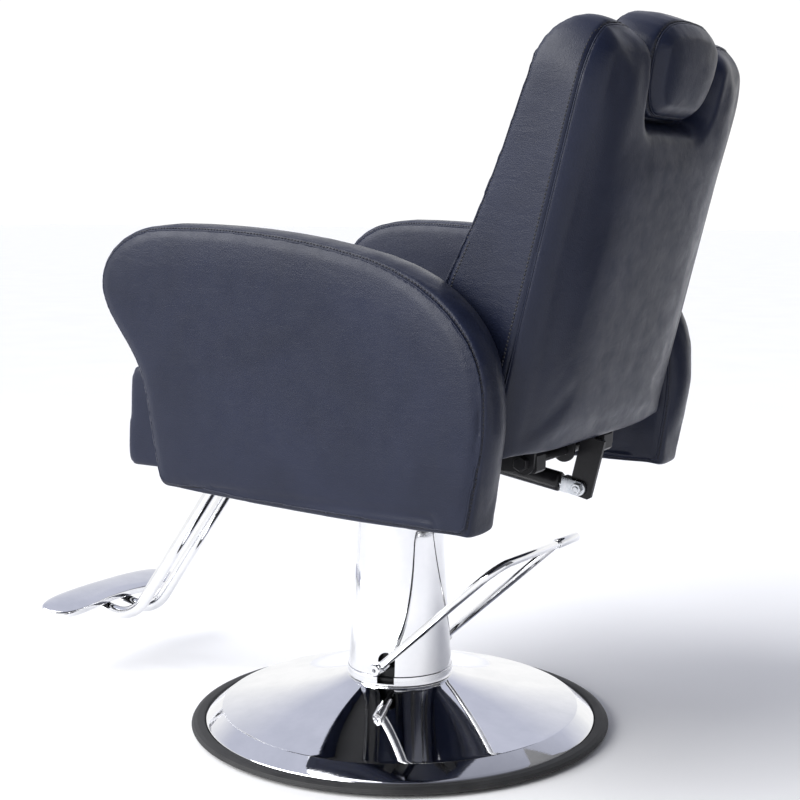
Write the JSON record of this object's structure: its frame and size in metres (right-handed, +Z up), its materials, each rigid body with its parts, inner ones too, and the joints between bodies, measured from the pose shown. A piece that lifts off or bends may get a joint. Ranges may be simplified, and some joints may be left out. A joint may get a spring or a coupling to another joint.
{
  "type": "barber chair",
  "caption": "Hydraulic barber chair with a round pedestal base, foot pump, swivelling padded seat, arms, footrest, reclining back and sliding headrest.",
  "frame": {"origin": "on the floor, on the axis of the column that the seat turns about", "axes": "+Z up, the sitter faces -Y, +X towards the sitter's left arm, the back is on the +Y side"},
  "size_m": [0.63, 0.983, 0.9476],
  "materials": {
    "chrome": "mirror polished plating",
    "zinc": "bright zinc plating",
    "black_paint": "black semi-gloss paint",
    "rubber": "matte moulded rubber",
    "plastic": "matte black moulding",
    "leather": "soft-sheen coated upholstery leather, blue-black",
    "plywood": "unfinished plywood, hidden by the covers",
    "black_board": "plywood stained black, seen from below"
  },
  "bodies": {
    "base": {"base_plate": "black_paint", "base_ring": "rubber", "base_dome": "chrome", "column_collar": "chrome", "column_cover": "chrome", "column_bush": "plastic", "pump_tank": "black_paint", "pump_cylinder": "black_paint", "pump_gland": "zinc"},
    "lift": {"lift_ram": "chrome"},
    "seat": {"swivel_hub": "black_paint", "seat_mount_plate": "black_paint", "frame_rail_left": "black_paint", "frame_rail_right": "black_paint", "frame_cross_front": "black_paint", "frame_cross_rear": "black_paint", "arm_bracket_front_left": "black_paint", "arm_bracket_front_right": "black_paint", "arm_bracket_rear_left": "black_paint", "arm_bracket_rear_right": "black_paint", "hinge_nut_left": "black_paint", "hinge_nut_right": "black_paint", "hinge_shaft": "black_paint", "seat_board": "black_board", "seat_cushion": "leather", "arm_pad_left": "leather", "arm_pad_right": "leather", "arm_core_left": "plywood", "arm_core_right": "plywood", "footrest_tube_left": "chrome", "footrest_tube_right": "chrome", "footrest_clamp": "black_paint", "footrest_plate": "chrome", "footrest_stiffener": "black_paint", "strut_bracket": "black_paint", "strut_anchor_pin": "zinc", "release_bracket": "black_paint"},
    "backrest": {"backrest_cushion": "leather", "back_board": "plywood", "back_rear_pad": "leather", "back_base_plate": "black_paint", "back_hinge_left": "black_paint", "back_hinge_centre": "black_paint", "back_hinge_right": "black_paint", "recline_lever": "black_paint", "headrest_guide": "zinc"},
    "headrest": {"headrest_pad": "leather", "headrest_post": "zinc"},
    "strut_rod": {"strut_rod": "chrome"},
    "strut_tube": {"strut_tube": "black_paint", "strut_clevis": "zinc", "clevis_bolt": "zinc", "clevis_nut": "zinc"},
    "pedal": {"pedal_shaft": "chrome", "pedal_bar": "chrome", "pedal_brace": "chrome", "pedal_grip": "chrome"},
    "release_lever": {"release_lever": "chrome", "release_knob": "plastic"}
  },
  "joints": [
    {"name": "lift", "type": "slide", "parent": "base", "child": "lift", "axis": [0, 0, 1], "range_m": [0, 0.15]},
    {"name": "swivel", "type": "hinge", "parent": "lift", "child": "seat", "pos_m": [0, 0, 0.36], "axis": [0, 0, 1], "continuous": true},
    {"name": "recline", "type": "hinge", "parent": "seat", "child": "backrest", "pos_m": [0, 0.25, 0.405], "axis": [-1, 0, 0], "range_deg": [0, 45]},
    {"name": "strut_swing", "type": "hinge", "parent": "seat", "child": "strut_rod", "pos_m": [-0.024, 0.05, 0.389], "axis": [-1, 0, 0], "range_deg": [-1, 1.5]},
    {"name": "strut_stroke", "type": "slide", "parent": "strut_rod", "child": "strut_tube", "axis": [0, -0.9858, 0.1679], "range_m": [0, 0.042]},
    {"name": "headrest_slide", "type": "slide", "parent": "backrest", "child": "headrest", "axis": [0, 0.2419, 0.9703], "range_m": [0, 0.09]},
    {"name": "pedal_push", "type": "hinge", "parent": "base", "child": "pedal", "pos_m": [0, 0.02, 0.099], "axis": [-1, 0, 0], "range_deg": [0, 24], "stiffness_Nm_per_rad": 8, "springref_deg": -34.38},
    {"name": "release", "type": "hinge", "parent": "seat", "child": "release_lever", "pos_m": [-0.1, -0.02, 0.339], "axis": [-1, 0, 0], "range_deg": [0, 15], "stiffness_Nm_per_rad": 0.5, "springref_deg": -28.65}
  ],
  "couplings": [
    {"joint": "strut_swing", "follows": "recline", "ratio": 0.0157},
    {"joint": "strut_stroke", "follows": "recline", "m_per_rad": 0.0518}
  ]
}
